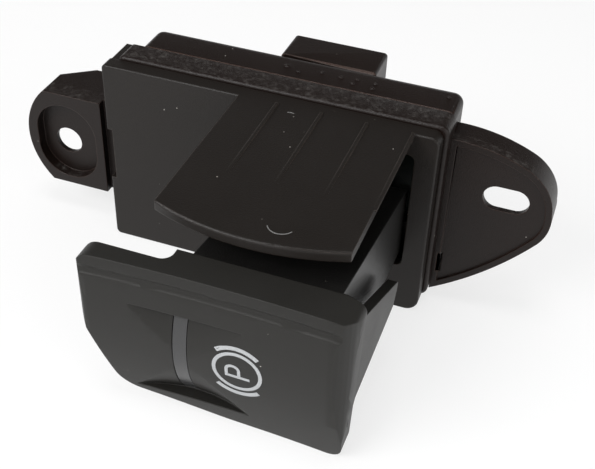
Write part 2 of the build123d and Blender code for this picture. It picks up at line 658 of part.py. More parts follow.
def symbol_light_guide():
    """A square rod through the neck that ends in a flat paddle behind the symbol."""
    half = GUIDE_SIDE / 2
    turn_y = NECK_FRONT - FLANGE_THICK - 0.3
    paddle = rounded(
        SYMBOL_X - 3.0, SYMBOL_GUIDE_X + half, SYMBOL_Z - 2.5, GUIDE_Z + half, 1.0, 1.0, 0.5, 0.5,
    )
    return guide_rod(SYMBOL_GUIDE_X, turn_y - 0.5) + deep(paddle, turn_y - 3.0, turn_y)


def pivot_pin():
    pin = upright(PIVOT_X, PIVOT_Y, PIN_R, PIN_LOW, PIN_TOP)
    pin += upright(PIVOT_X, PIVOT_Y, PIN_HEAD_R, PIN_TOP, PIN_TOP + PIN_HEAD)
    groove = upright(PIVOT_X, PIVOT_Y, PIN_R + 1, CLIP_TOP - CLIP_THICK - 0.05, CLIP_TOP + 0.02)
    groove -= upright(PIVOT_X, PIVOT_Y, GROOVE_R, PIN_LOW, PIN_TOP)
    return chamfer((pin - groove).edges().group_by(Axis.Z)[0], 0.3)


def pin_retainer():
    """A snap ring with three lobes and an open mouth, in the pin's groove under the lower lug."""
    ring = Circle(CLIP_R) - Circle(GROOVE_R + 0.02)
    ring -= Pos(0, -CLIP_R) * Rectangle(1.7 * GROOVE_R, 2 * CLIP_R)
    for angle in (35, 145):
        ring -= Rot(0, 0, angle) * Pos(GROOVE_R + 0.9, 0) * Circle(0.55)
    return tall(Pos(PIVOT_X, PIVOT_Y) * ring, CLIP_TOP - CLIP_THICK, CLIP_TOP)


def pivot_bush(top_end):
    """A flanged sleeve pressed into one end of the lever's hub."""
    direction = 1 if top_end else -1
    face = HUB_TOP if top_end else HUB_LOW
    z_far = face - direction * BUSH_LENGTH
    z_flange = face + direction * BUSH_FLANGE
    bush = upright(PIVOT_X, PIVOT_Y, BUSH_R, min(face, z_far), max(face, z_far))
    bush += upright(PIVOT_X, PIVOT_Y, BUSH_FLANGE_R, min(face, z_flange), max(face, z_flange))
    return bush - upright(PIVOT_X, PIVOT_Y, PIN_R + 0.05, HUB_LOW - 2, HUB_TOP + 2)


def actuator_slider():
    """The carriage behind the lever: a notch for the lever's tail, a key groove and spring cups."""
    middle_y = (SLIDER_FRONT + SLIDER_BACK) / 2
    slider = block(SLIDER_LEFT, SLIDER_RIGHT, SLIDER_FRONT, SLIDER_BACK, SLIDER_LOW, SLIDER_TOP)
    slider = fillet(slider.edges().filter_by(Axis.Y), 0.4)
    play = 0.1
    notch = TAIL_NOSE_R + play
    slider -= block(PIVOT_X - notch, PIVOT_X + notch, 0, SLIDER_BACK + 1, TAIL_LOW - 0.2, SLIDER_TOP + 1)
    groove = RAIL_WIDTH / 2 + FIT
    slider -= block(
        SLIDER_LEFT - 1, SLIDER_RIGHT + 1, middle_y - groove, middle_y + groove, SLIDER_LOW - 1,
        SLIDER_LOW + RAIL_RISE + 0.05,
    )
    for x0, x1 in ((SLIDER_LEFT + 3, SLIDER_LEFT + 8), (SLIDER_RIGHT - 8, SLIDER_RIGHT - 3)):
        slider -= block(x0, x1, SLIDER_FRONT - 1, SLIDER_FRONT + 1.5, SLIDER_LOW + 2.4, SLIDER_TOP - 1.2)
    return slider


def slider_spring(x0, x1):
    """A coil between a post of the housing and one end of the slider."""
    middle_y = (SLIDER_FRONT + SLIDER_BACK) / 2
    length = x1 - x0 - 2 * SPRING_WIRE_R
    coil = Helix(pitch=length / SPRING_TURNS, height=length, radius=SPRING_R)
    section = Plane(origin=coil @ 0, z_dir=coil % 0) * Circle(SPRING_WIRE_R)
    wire = sweep(section, path=coil)
    return Location((x0 + SPRING_WIRE_R, middle_y, SPRING_Z), (0, 90, 0)) * wire


def slider_stops():
    """Two rubber pads on the housing's posts that end the slider's travel softly."""
    reach = LEVER_TRAVEL + STOP_GAP
    pads = []
    for x0 in (SLIDER_LEFT - reach - STOP_THICK, SLIDER_RIGHT + reach):
        pad = block(
            x0, x0 + STOP_THICK, SLIDER_FRONT + 0.2, SLIDER_BACK - 0.2, SLIDER_LOW - FIT, SLIDER_LOW + STOP_HEIGHT - 0.3,
        )
        pads.append(fillet(pad.edges().filter_by(Axis.Y).group_by(Axis.Z)[-1], 0.4))
    return Compound(pads)


def wiper_contacts():
    """A stamped comb on the slider's back whose bent fingers reach for the board."""
    base_y = SLIDER_BACK + 0.2
    comb = rect(SLIDER_LEFT + 2, SLIDER_RIGHT - 2, SLIDER_BACK, base_y)
    tip_y = BOARD_FACE_Y - 0.08
    for x in (SLIDER_LEFT + 3, SLIDER_LEFT + 11, SLIDER_LEFT + 17):
        comb += Polygon(
            (x, SLIDER_BACK + 0.05), (x + 0.3, SLIDER_BACK + 0.05), (x + 3.2, tip_y - 0.2), (x + 4.2, tip_y - 0.6),
            (x + 4.3, tip_y - 0.4), (x + 3.2, tip_y), align=None,
        )
    return tall(comb, SLIDER_LOW + 0.4, SLIDER_LOW + 1.6)


def pin_places():
    middle = (SHROUD_LEFT + SHROUD_RIGHT) / 2
    for i in range(PIN_COUNT):
        yield middle + (i - (PIN_COUNT - 1) / 2) * PIN_PITCH


def connector_pin(x, grow):
    half = PIN_SIDE / 2 + grow
    return block(
        x - half, x + half, BOARD_FACE_Y - 0.7 - grow, BODY_BACK + PIN_REACH + grow, PIN_Z - half, PIN_Z + half,
    )


def connector_pins():
    pins = []
    for x in pin_places():
        pin = connector_pin(x, 0)
        pins.append(chamfer(pin.faces().sort_by(Axis.Y)[-1].edges(), 0.2))
    return Compound(pins)


def connector_header():
    header = deep(header_outline(0), BOARD_FACE_Y + BOARD_THICK, BODY_BACK)
    for x in pin_places():
        header -= connector_pin(x, 0.02)
    return header


def circuit_board():
    board = deep(
        rounded(BOARD_LEFT, BOARD_RIGHT, BOARD_LOW, BOARD_TOP, 1.0, 1.0, 1.0, 1.0),
        BOARD_FACE_Y, BOARD_FACE_Y + BOARD_THICK,
    )
    for x, z in board_screw_places():
        board -= along_y(x, z, BOARD_SCREW_R + 0.15, BOARD_FACE_Y - 1, BACK_INSIDE)
    for x in pin_places():
        board -= connector_pin(x, 0.02)
    return board


def board_screws():
    screws = []
    for x, z in board_screw_places():
        head = along_y(x, z, BOARD_HEAD_R, BOARD_FACE_Y - BOARD_HEAD, BOARD_FACE_Y)
        head = fillet(head.faces().sort_by(Axis.Y)[0].edges(), 0.6)
        recess = deep(Pos(x, z) * (Rectangle(2.2, 0.5) + Rectangle(0.5, 2.2)), 0, BOARD_FACE_Y - BOARD_HEAD + 0.7)
        shank = along_y(x, z, BOARD_SCREW_R, BOARD_FACE_Y, BODY_BACK - 0.8)
        screws.append(head - recess + shank)
    return Compound(screws)


def board_leds():
    """Two lamps, one behind each light guide."""
    lamps = []
    for x in (STRIP_GUIDE_X, SYMBOL_GUIDE_X):
        base = deep(Pos(x, GUIDE_Z) * Rectangle(LED_SIZE, LED_SIZE * 0.8), BOARD_FACE_Y - LED_TALL * 0.6, BOARD_FACE_Y)
        dome = along_y(x, GUIDE_Z, LED_SIZE * 0.36, BOARD_FACE_Y - LED_TALL, BOARD_FACE_Y - LED_TALL * 0.5)
        lamps.append(base + fillet(dome.faces().sort_by(Axis.Y)[0].edges(), 0.35))
    return Compound(lamps)


def chip(x, z, length, width, height):
    """A small part on the board with a metal cap at each end."""
    body = deep(Pos(x, z) * Rectangle(length, width), BOARD_FACE_Y - height, BOARD_FACE_Y)
    waist = deep(Pos(x, z) * Rectangle(length * 0.6, width + 1), BOARD_FACE_Y - height - 1, BOARD_FACE_Y - height + 0.08)
    return body - waist


def board_resistors():
    return Compound([chip(16.0 + 4.2 * i, -12.0, 3.2, 1.6, 0.6) for i in range(5)])


def board_capacitors():
    return Compound([chip(18.0 + 6.0 * i, -28.0, 3.2, 2.5, 1.7) for i in range(2)])


def build_all():
    return {
        "front_cover": front_cover(),
        "rear_housing": rear_housing(),
        "lever_arm": lever_arm(),
        "knob_cap": knob_cap(),
        "indicator_lens": indicator_lens(),
        "symbol_diffuser": symbol_diffuser(),
        "strip_light_guide": strip_light_guide(),
        "symbol_light_guide": symbol_light_guide(),
        "pivot_pin": pivot_pin(),
        "pin_retainer": pin_retainer(),
        "pivot_bush_upper": pivot_bush(True),
        "pivot_bush_lower": pivot_bush(False),
        "actuator_slider": actuator_slider(),
        "slider_spring_left": slider_spring(SLIDER_LEFT - SPRING_ROOM, SLIDER_LEFT),
        "slider_spring_right": slider_spring(SLIDER_RIGHT, SLIDER_RIGHT + SPRING_ROOM),
        "slider_stops": slider_stops(),
        "wiper_contacts": wiper_contacts(),
        "circuit_board": circuit_board(),
        "board_screws": board_screws(),
        "board_leds": board_leds(),
        "board_resistors": board_resistors(),
        "board_capacitors": board_capacitors(),
        "connector_header": connector_header(),
        "connector_pins": connector_pins(),
    }


os.makedirs("parts", exist_ok=True)
to_origin = Location((-HOLE_X, -EAR_FACE_Y - POCKET_DEPTH, -HOLE_Z))
for name, shape in build_all().items():
    export_step(to_origin * shape, "parts/" + name + ".step")
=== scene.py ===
import bpy
import bmesh
import math
from mathutils import Matrix, Vector
from mathutils.bvhtree import BVHTree


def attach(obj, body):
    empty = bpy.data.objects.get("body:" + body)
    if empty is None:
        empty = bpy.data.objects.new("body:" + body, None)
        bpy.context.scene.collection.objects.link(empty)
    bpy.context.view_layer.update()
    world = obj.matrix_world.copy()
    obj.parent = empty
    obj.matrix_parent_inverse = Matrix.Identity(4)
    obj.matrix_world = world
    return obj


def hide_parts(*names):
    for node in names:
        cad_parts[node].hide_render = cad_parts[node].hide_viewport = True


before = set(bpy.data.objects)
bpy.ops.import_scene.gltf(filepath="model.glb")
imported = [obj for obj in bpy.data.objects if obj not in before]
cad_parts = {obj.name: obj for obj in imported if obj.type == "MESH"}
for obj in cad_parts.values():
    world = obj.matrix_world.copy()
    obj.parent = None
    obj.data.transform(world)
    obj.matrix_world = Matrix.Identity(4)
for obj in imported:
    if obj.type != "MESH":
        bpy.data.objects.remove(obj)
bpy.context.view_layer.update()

MM = 0.001

# The model's origin is the screw's seat in the left ear. The sizes below are read more easily from
# the front plate's upper left corner, which lies here in the model's frame.
PLATE_CORNER = Vector((15.0, -9.4, 27.5))


def at(x, y, z):
    """A point given in millimetres from the plate's upper left corner, in the model's frame."""
    return (Vector((x, y, z)) + PLATE_CORNER) * MM


def new_object(name, data):
    """An object made from its data and put in the scene."""
    obj = bpy.data.objects.new(name, data)
    bpy.context.scene.collection.objects.link(obj)
    return obj


def finished_mesh(mesh, name):
    """The edited mesh as mesh data."""
    data = bpy.data.meshes.new(name)
    mesh.to_mesh(data)
    mesh.free()
    return data


# Camera, as found from the straight edges in the photograph
CAMERA_PLACE = at(101.0, -166.3, 109.7)
CAMERA_AHEAD = Vector((-0.2482, 0.7376, -0.6280)).normalized()
CAMERA_ROLL = 2.4
FOCAL_PIXELS = 1035.0
PHOTO_WIDTH = 595.0
SENSOR = 36.0
NEAR_CLIP = 0.005
FAR_CLIP = 20.0


def add_camera():
    data = bpy.data.cameras.new("photo_camera")
    data.sensor_width = SENSOR
    data.lens = FOCAL_PIXELS * SENSOR / PHOTO_WIDTH
    data.clip_start = NEAR_CLIP
    data.clip_end = FAR_CLIP
    camera = new_object("photo_camera", data)
    level_right = CAMERA_AHEAD.cross(Vector((0, 0, 1))).normalized()
    level_down = CAMERA_AHEAD.cross(level_right).normalized()
    roll = math.radians(CAMERA_ROLL)
    right = math.cos(roll) * level_right - math.sin(roll) * level_down
    down = math.sin(roll) * level_right + math.cos(roll) * level_down
    turn = Matrix((right, -down, -CAMERA_AHEAD)).transposed().to_4x4()
    camera.matrix_world = Matrix.Translation(CAMERA_PLACE) @ turn
    bpy.context.scene.camera = camera


# Node helpers

def new_group(name, inputs, outputs):
    group = bpy.data.node_groups.new(name, "ShaderNodeTree")
    for socket_name, kind, default in inputs:
        socket = group.interface.new_socket(socket_name, in_out="INPUT", socket_type=kind)
        socket.default_value = default
    for socket_name, kind in outputs:
        group.interface.new_socket(socket_name, in_out="OUTPUT", socket_type=kind)
    return group, group.nodes.new("NodeGroupInput"), group.nodes.new("NodeGroupOutput")


def add_node(tree, kind, values=None, **settings):
    node = tree.nodes.new(kind)
    for key, value in settings.items():
        setattr(node, key, value)
    for key, value in (values or {}).items():
        node.inputs[key].default_value = value
    return node


def join(tree, a, a_socket, b, b_socket):
    tree.links.new(a.outputs[a_socket], b.inputs[b_socket])


def ramp(tree, low, high):
    """A soft step from 0 at low to 1 at high."""
    node = add_node(tree, "ShaderNodeMapRange", interpolation_type="SMOOTHSTEP")
    node.inputs["From Min"].default_value = low
    node.inputs["From Max"].default_value = high
    return node


GLOSS_PATCH_SCALE = 70.0
FINE_SHARE = 0.7


def grain_group():
    """Moulded grain: a fine pebbled surface with slow changes of gloss."""
    group, given, result = new_group(
        "moulded grain",
        [
            ("Pebble size", "NodeSocketFloat", 0.35),
            ("Unevenness", "NodeSocketFloat", 0.15),
            ("Gloss", "NodeSocketFloat", 0.45),
        ],
        [("Height", "NodeSocketFloat"), ("Roughness", "NodeSocketFloat"), ("Tone", "NodeSocketFloat")],
    )
    place = add_node(group, "ShaderNodeTexCoord")
    size = add_node(group, "ShaderNodeMath", {0: 1.0 / MM}, operation="DIVIDE")
    join(group, given, "Pebble size", size, 1)
    pebbles = add_node(group, "ShaderNodeTexVoronoi", {"Randomness": 1.0}, feature="SMOOTH_F1")
    pebbles.inputs["Smoothness"].default_value = 0.6
    join(group, place, "Object", pebbles, "Vector")
    join(group, size, 0, pebbles, "Scale")
    fine = add_node(group, "ShaderNodeTexNoise", {"Detail": 3.0, "Roughness": 0.6})
    join(group, place, "Object", fine, "Vector")
    join(group, size, 0, fine, "Scale")
    height = add_node(group, "ShaderNodeMath", {1: FINE_SHARE}, operation="MULTIPLY_ADD")
    join(group, pebbles, "Distance", height, 0)
    join(group, fine, "Fac", height, 2)
    join(group, height, 0, result, "Height")
    slow = add_node(
        group, "ShaderNodeTexNoise", {"Scale": GLOSS_PATCH_SCALE, "Detail": 4.0, "Roughness": 0.65},
    )
    join(group, place, "Object", slow, "Vector")
    centred = add_node(group, "ShaderNodeMath", {1: 0.5}, operation="SUBTRACT")
    join(group, slow, "Fac", centred, 0)
    spread = add_node(group, "ShaderNodeMath", operation="MULTIPLY_ADD")
    join(group, centred, 0, spread, 0)
    join(group, given, "Unevenness", spread, 1)
    join(group, given, "Gloss", spread, 2)
    join(group, spread, 0, result, "Roughness")
    join(group, slow, "Fac", result, "Tone")
    return group


SPECK_SIZES = ((0.025, 0.0), (0.05, 13.0))
POWDER_SCALE = 900.0
DUST_FILM = (0.30, 0.28, 0.26)
DUST_SPECK = (0.55, 0.52, 0.48)


def dust_group():
    """Dust: sparse pale specks of two sizes, and a thin haze on faces that look up."""
    group, given, result = new_group(
        "dust and lint",
        [
            ("Speck spacing", "NodeSocketFloat", 3.0),
            ("Speck share", "NodeSocketFloat", 0.3),
            ("Haze", "NodeSocketFloat", 0.1),
        ],
        [("Specks", "NodeSocketFloat"), ("Film", "NodeSocketFloat")],
    )
    place = add_node(group, "ShaderNodeTexCoord")
    cells = add_node(group, "ShaderNodeMath", {0: 1.0 / MM}, operation="DIVIDE")
    join(group, given, "Speck spacing", cells, 1)
    total = None
    for size, seed in SPECK_SIZES:
        away = (seed * MM, seed * 1.7 * MM, -seed * MM)
        shift = add_node(group, "ShaderNodeVectorMath", {1: away}, operation="ADD")
        join(group, place, "Object", shift, 0)
        spot = add_node(group, "ShaderNodeTexVoronoi", {"Randomness": 1.0})
        join(group, shift, 0, spot, "Vector")
        join(group, cells, 0, spot, "Scale")
        near = ramp(group, size, size * 0.4)
        join(group, spot, "Distance", near, "Value")
        lot = add_node(group, "ShaderNodeSeparateColor")
        join(group, spot, "Color", lot, "Color")
        kept = add_node(group, "ShaderNodeMath", operation="LESS_THAN")
        join(group, lot, "Red", kept, 0)
        join(group, given, "Speck share", kept, 1)
        spec = add_node(group, "ShaderNodeMath", operation="MULTIPLY")
        join(group, near, "Result", spec, 0)
        join(group, kept, 0, spec, 1)
        if total is None:
            total = spec
        else:
            both = add_node(group, "ShaderNodeMath", operation="MAXIMUM")
            join(group, total, 0, both, 0)
            join(group, spec, 0, both, 1)
            total = both
    join(group, total, 0, result, "Specks")
    surface = add_node(group, "ShaderNodeNewGeometry")
    axes = add_node(group, "ShaderNodeSeparateXYZ")
    join(group, surface, "Normal", axes, "Vector")
    upward = ramp(group, 0.5, 0.95)
    join(group, axes, "Z", upward, "Value")
    powder = add_node(group, "ShaderNodeTexNoise", {"Scale": POWDER_SCALE, "Detail": 5.0, "Roughness": 0.75})
    join(group, place, "Object", powder, "Vector")
    patches = ramp(group, 0.45, 0.75)
    join(group, powder, "Fac", patches, "Value")
    lying = add_node(group, "ShaderNodeMath", operation="MULTIPLY")
    join(group, upward, "Result", lying, 0)
    join(group, patches, "Result", lying, 1)
    film = add_node(group, "ShaderNodeMath", operation="MULTIPLY")
    join(group, lying, 0, film, 0)
    join(group, given, "Haze", film, 1)
    join(group, film, 0, result, "Film")
    return group


def edge_group():
    """Rounded edges: a mask of the corners, from the difference between the real and a rounded normal; the
    dark plastics use the mask to lighten edges as a painted highlight, with some wear.
    """
    group, given, result = new_group(
        "rounded edges and edge highlight",
        [("Reach", "NodeSocketFloat", 0.4 * MM)],
        [("Mask", "NodeSocketFloat"), ("Rounded", "NodeSocketVector")],
    )
    rounded = add_node(group, "ShaderNodeBevel", samples=6)
    join(group, given, "Reach", rounded, "Radius")
    surface = add_node(group, "ShaderNodeNewGeometry")
    same = add_node(group, "ShaderNodeVectorMath", operation="DOT_PRODUCT")
    join(group, rounded, "Normal", same, 0)
    join(group, surface, "True Normal", same, 1)
    mask = ramp(group, 0.98, 0.75)
    join(group, same, "Value", mask, "Value")
    join(group, mask, "Result", result, "Mask")
    join(group, rounded, "Normal", result, "Rounded")
    return group


GRAIN = grain_group()
DUST = dust_group()
EDGES = edge_group()


def place_group(tree, group, **values):
    node = add_node(tree, "ShaderNodeGroup", node_tree=group)
    for key, value in values.items():
        node.inputs[key.replace("_", " ")].default_value = value
    return node


def mix_colour(tree, share, low, high):
    """A colour between two others. Each colour is a value or a (node, socket) pair."""
    node = add_node(tree, "ShaderNodeMix", data_type="RGBA")
    if isinstance(share, tuple):
        join(tree, share[0], share[1], node, "Factor")
    else:
        node.inputs["Factor"].default_value = share
    for index, colour in ((6, low), (7, high)):
        if isinstance(colour[0], bpy.types.Node):
            tree.links.new(colour[0].outputs[colour[1]], node.inputs[index])
        else:
            node.inputs[index].default_value = (*colour, 1.0)
    return node


def start_material(name):
    material = bpy.data.materials.new(name)
    material.use_nodes = True
    tree = material.node_tree
    shader = tree.nodes["Principled BSDF"]
    return material, tree, shader


def black_plastic(
    name, colour, tint, gloss, specular=0.5, pebble=0.35, bump=0.04, dust_share=0.25, edge_highlight_lift=1.6,
):
    """A dark moulded plastic with grain, dust, and edges lightened as a painted highlight with some wear."""
    material, tree, shader = start_material(name)
    grain = place_group(tree, GRAIN, Pebble_size=pebble, Unevenness=0.15, Gloss=gloss)
    dust = place_group(tree, DUST, Speck_spacing=3.0, Speck_share=dust_share, Haze=0.0)
    edges = place_group(tree, EDGES, Reach=0.35 * MM)
    base = mix_colour(tree, (grain, "Tone"), colour, tint)
    # Lighter colour along the edges: a painted highlight where they catch light, with some wear.
    edge_highlight_colour = tuple(min(1.0, c * edge_highlight_lift) for c in colour)
    with_edge_highlight = mix_colour(tree, (edges, "Mask"), (base, 2), edge_highlight_colour)
    with_film = mix_colour(tree, (dust, "Film"), (with_edge_highlight, 2), DUST_FILM)
    with_specks = mix_colour(tree, (dust, "Specks"), (with_film, 2), DUST_SPECK)
    join(tree, with_specks, 2, shader, "Base Color")
    join(tree, grain, "Roughness", shader, "Roughness")
    shader.inputs["Specular IOR Level"].default_value = specular
    relief = add_node(tree, "ShaderNodeBump", {"Strength": 1.0, "Distance": bump * MM})
    join(tree, grain, "Height", relief, "Height")
    join(tree, edges, "Rounded", relief, "Normal")
    join(tree, relief, "Normal", shader, "Normal")
    return material, tree, shader


def plain_finish(name, colour, tint, gloss, metallic=0.0, specular=0.5, pebble=0.5, bump=0.01):
    """A finish for the smaller and the inner pieces: two tones, uneven gloss and a trace of relief."""
    material, tree, shader = start_material(name)
    grain = place_group(tree, GRAIN, Pebble_size=pebble, Unevenness=0.2, Gloss=gloss)
    edges = place_group(tree, EDGES, Reach=0.15 * MM)
    base = mix_colour(tree, (grain, "Tone"), colour, tint)
    join(tree, base, 2, shader, "Base Color")
    join(tree, grain, "Roughness", shader, "Roughness")
    shader.inputs["Metallic"].default_value = metallic
    shader.inputs["Specular IOR Level"].default_value = specular
    relief = add_node(tree, "ShaderNodeBump", {"Strength": 1.0, "Distance": bump * MM})
    join(tree, grain, "Height", relief, "Height")
    join(tree, edges, "Rounded", relief, "Normal")
    join(tree, relief, "Normal", shader, "Normal")
    return material


def dress(node, material):
    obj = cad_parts[node]
    obj.data.materials.clear()
    obj.data.materials.append(material)


# The cover's and the housing's edges are lightened strongly: a painted highlight along their edges.
COVER_BLACK, _, _ = black_plastic(
    "cover satin black", (0.0085, 0.0065, 0.0052), (0.012, 0.0093, 0.0078), 0.42,
    specular=0.30, pebble=0.25, bump=0.03, dust_share=0.2, edge_highlight_lift=5.0,
)
HOUSING_BLACK, housing_tree, housing_shader = black_plastic(
    "housing brown black", (0.0062, 0.0032, 0.0022), (0.0105, 0.0058, 0.0045), 0.40,
    specular=0.27, pebble=0.3, edge_highlight_lift=6.0,
)
LEVER_BLACK, _, _ = black_plastic(
    "arm black", (0.006, 0.0058, 0.0055), (0.009, 0.0085, 0.008), 0.35,
)
KNOB_BLACK, _, _ = black_plastic(
    "handle soft black", (0.013, 0.0123, 0.0108), (0.017, 0.0162, 0.0145), 0.46,
    specular=0.29, pebble=0.18, bump=0.02, dust_share=0.1,
)

RIM_BACK = 9.3
RIM_DUST = (0.17, 0.16, 0.15)
RIM_DUST_STRENGTH = 0.8


def dust_rim_top():
    """A close scatter of pale dust on the rim's top, which stands forward of the body's."""
    tree, shader = housing_tree, housing_shader
    place = add_node(tree, "ShaderNodeTexCoord")
    axes = add_node(tree, "ShaderNodeSeparateXYZ")
    join(tree, place, "Object", axes, "Vector")
    forward = ramp(tree, at(0, RIM_BACK + 0.2, 0).y, at(0, RIM_BACK - 0.4, 0).y)
    join(tree, axes, "Y", forward, "Value")
    facing = add_node(tree, "ShaderNodeNewGeometry")
    normal = add_node(tree, "ShaderNodeSeparateXYZ")
    join(tree, facing, "Normal", normal, "Vector")
    upward = ramp(tree, 0.6, 0.95)
    join(tree, normal, "Z", upward, "Value")
    dust = place_group(tree, DUST, Speck_spacing=0.8, Speck_share=0.6, Haze=0.35)
    both = add_node(tree, "ShaderNodeMath", operation="MAXIMUM")
    join(tree, dust, "Specks", both, 0)
    join(tree, dust, "Film", both, 1)
    there = add_node(tree, "ShaderNodeMath", operation="MULTIPLY")
    join(tree, forward, "Result", there, 0)
    join(tree, upward, "Result", there, 1)
    share = add_node(tree, "ShaderNodeMath", operation="MULTIPLY")
    join(tree, there, 0, share, 0)
    join(tree, both, 0, share, 1)
    faint = add_node(tree, "ShaderNodeMath", {1: RIM_DUST_STRENGTH}, operation="MULTIPLY")
    join(tree, share, 0, faint, 0)
    below = shader.inputs["Base Color"].links[0].from_node
    dusty = mix_colour(tree, (faint, 0), (below, 2), RIM_DUST)
    join(tree, dusty, 2, shader, "Base Color")


dust_rim_top()
STRIP_GREY = plain_finish("smoked strip", (0.033, 0.033, 0.034), (0.042, 0.042, 0.043), 0.3)
STEEL = plain_finish("ground steel", (0.55, 0.55, 0.56), (0.62, 0.62, 0.63), 0.3, metallic=1.0)
DARK_STEEL = plain_finish("spring steel", (0.2, 0.2, 0.21), (0.28, 0.28, 0.3), 0.35, metallic=1.0)
ACETAL = plain_finish("natural acetal", (0.7, 0.69, 0.64), (0.76, 0.75, 0.7), 0.35)
MILKY = plain_finish("milky diffuser", (0.7, 0.7, 0.68), (0.75, 0.75, 0.73), 0.3)
CLEAR = plain_finish("clear guide", (0.8, 0.82, 0.82), (0.85, 0.87, 0.87), 0.08)
RUBBER = plain_finish("stop rubber", (0.02, 0.02, 0.02), (0.03, 0.03, 0.03), 0.7)
BRASS = plain_finish("stamped brass", (0.7, 0.52, 0.25), (0.75, 0.58, 0.3), 0.3, metallic=1.0)
TIN = plain_finish("tinned pins", (0.75, 0.73, 0.68), (0.8, 0.78, 0.74), 0.3, metallic=1.0)
BOARD = plain_finish("board mask", (0.008, 0.02, 0.012), (0.012, 0.03, 0.018), 0.45)
LAMP = plain_finish("lamp resin", (0.8, 0.76, 0.5), (0.85, 0.8, 0.6), 0.2)
RESISTOR = plain_finish("resistor glaze", (0.03, 0.03, 0.03), (0.04, 0.04, 0.045), 0.3)
CAPACITOR = plain_finish("capacitor ceramic", (0.42, 0.3, 0.18), (0.5, 0.38, 0.25), 0.45)
HEADER = plain_finish("header black", (0.02, 0.02, 0.02), (0.03, 0.03, 0.03), 0.45)
PRINT = plain_finish("symbol print", (0.36, 0.37, 0.38), (0.42, 0.43, 0.44), 0.45)
# A pale grey for the painted highlights on the rims of the shelf's ejector marks.
GLINT_GREY = plain_finish("painted glint grey", (0.14, 0.14, 0.135), (0.2, 0.2, 0.195), 0.3)

FINISHES = {
    "front_cover": COVER_BLACK,
    "rear_housing": HOUSING_BLACK,
    "lever_arm": LEVER_BLACK,
    "knob_cap": KNOB_BLACK,
    "indicator_lens": STRIP_GREY,
    "symbol_diffuser": MILKY,
    "strip_light_guide": CLEAR,
    "symbol_light_guide": CLEAR,
    "pivot_pin": STEEL,
    "pin_retainer": DARK_STEEL,
    "pivot_bush_upper": ACETAL,
    "pivot_bush_lower": ACETAL,
    "actuator_slider": ACETAL,
    "slider_spring_left": DARK_STEEL,
    "slider_spring_right": DARK_STEEL,
    "slider_stops": RUBBER,
    "wiper_contacts": BRASS,
    "circuit_board": BOARD,
    "board_screws": STEEL,
    "board_leds": LAMP,
    "board_resistors": RESISTOR,
    "board_capacitors": CAPACITOR,
    "connector_header": HEADER,
    "connector_pins": TIN,
}
for node_name, finish in FINISHES.items():
    dress(node_name, finish)


# Ears and handle corners, shaped closer to the photograph than their nodes are. The shell and the
# handle start from their nodes' own surfaces, the two ears from outlines in the nodes' place.

SMOOTH_ANGLE = 32.0
EDGE_ANGLE = 50.0
HANDLE_EDGE_ROUND = 0.7
ROUND_STEPS = 3
FACE_WEIGHT = 100


def add_piece(name, data, material, body, edge_round=0.0):
    piece = new_object(name, data)
    data.materials.clear()
    data.materials.append(material)
    data.shade_smooth()
    data.set_sharp_from_angle(angle=math.radians(SMOOTH_ANGLE))
    if edge_round:
        softened = piece.modifiers.new("softened edges", "BEVEL")
        softened.width = edge_round * MM
        softened.segments = ROUND_STEPS
        softened.limit_method = "ANGLE"
        softened.angle_limit = math.radians(EDGE_ANGLE)
    even = piece.modifiers.new("flat faces stay flat", "WEIGHTED_NORMAL")
    even.keep_sharp = True
    even.weight = FACE_WEIGHT
    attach(piece, body)
    return piece


def arc_through(a, b, c, steps=20):
    """Points on the arc from a through b to c."""
    a, b, c = Vector(a), Vector(b), Vector(c)
    ab, ac = b - a, c - a
    twice = 2 * (ab.x * ac.y - ab.y * ac.x)
    centre = a + Vector((
        (ac.y * ab.length_squared - ab.y * ac.length_squared) / twice,
        (ab.x * ac.length_squared - ac.x * ab.length_squared) / twice,
    ))
    start = math.atan2(a.y - centre.y, a.x - centre.x)
    sweep = math.atan2(c.y - centre.y, c.x - centre.x) - start
    turn = 2 * math.pi if twice > 0 else -2 * math.pi
    if sweep * turn < 0:
        sweep += turn
    reach = (a - centre).length
    angles = [start + sweep * i / steps for i in range(steps + 1)]
    return [(centre.x + reach * math.cos(t), centre.y + reach * math.sin(t)) for t in angles]


def rounded_outline(corners, steps=10):
    """A closed outline from corners given as (x, y, radius)."""
    points = []
    count = len(corners)
    for i, (x, y, radius) in enumerate(corners):
        here = Vector((x, y))
        back = (Vector(corners[i - 1][:2]) - here).normalized()
        ahead = (Vector(corners[(i + 1) % count][:2]) - here).normalized()
        if radius == 0:
            points.append((x, y))
            continue
        half = back.angle(ahead) / 2
        centre = here + (back + ahead).normalized() * radius / math.sin(half)
        a = here + back * radius / math.tan(half)
        c = here + ahead * radius / math.tan(half)
        b = centre + (here - centre).normalized() * radius
        points += arc_through(a, b, c, steps)
    return points


def inset_outline(points, distance):
    """The outline moved inwards, for an outline with no tight hollows."""
    area = sum(p[0] * q[1] - q[0] * p[1] for p, q in zip(points, points[1:] + points[:1]))
    side = 1 if area > 0 else -1
    moved = []
    for i, point in enumerate(points):
        before = (Vector(point) - Vector(points[i - 1])).normalized()
        after = (Vector(points[(i + 1) % len(points)]) - Vector(point)).normalized()
        inward = Vector((-before.y - after.y, before.x + after.x)) * side / (1 + before.dot(after))
        moved.append(tuple(Vector(point) + inward * distance))
    return moved


def block_from(outline, low, high, axis="Y"):
    """A closed block with the outline seen along Y (as x, z) or along Z (as x, y)."""
    mesh = bmesh.new()
    ends = []
    for depth in (low, high):
        if axis == "Y":
            ends.append([mesh.verts.new(at(u, depth, v)) for u, v in outline])
        else:
            ends.append([mesh.verts.new(at(u, v, depth)) for u, v in outline])
    mesh.faces.new(ends[0])
    mesh.faces.new(list(reversed(ends[1])))
    for i in range(len(outline)):
        mesh.faces.new((ends[0][i - 1], ends[0][i], ends[1][i], ends[1][i - 1]))
    bmesh.ops.recalc_face_normals(mesh, faces=mesh.faces)
    return finished_mesh(mesh, "block")


def box_from(x0, x1, y0, y1, z0, z1):
    return block_from([(x0, z0), (x1, z0), (x1, z1), (x0, z1)], y0, y1)


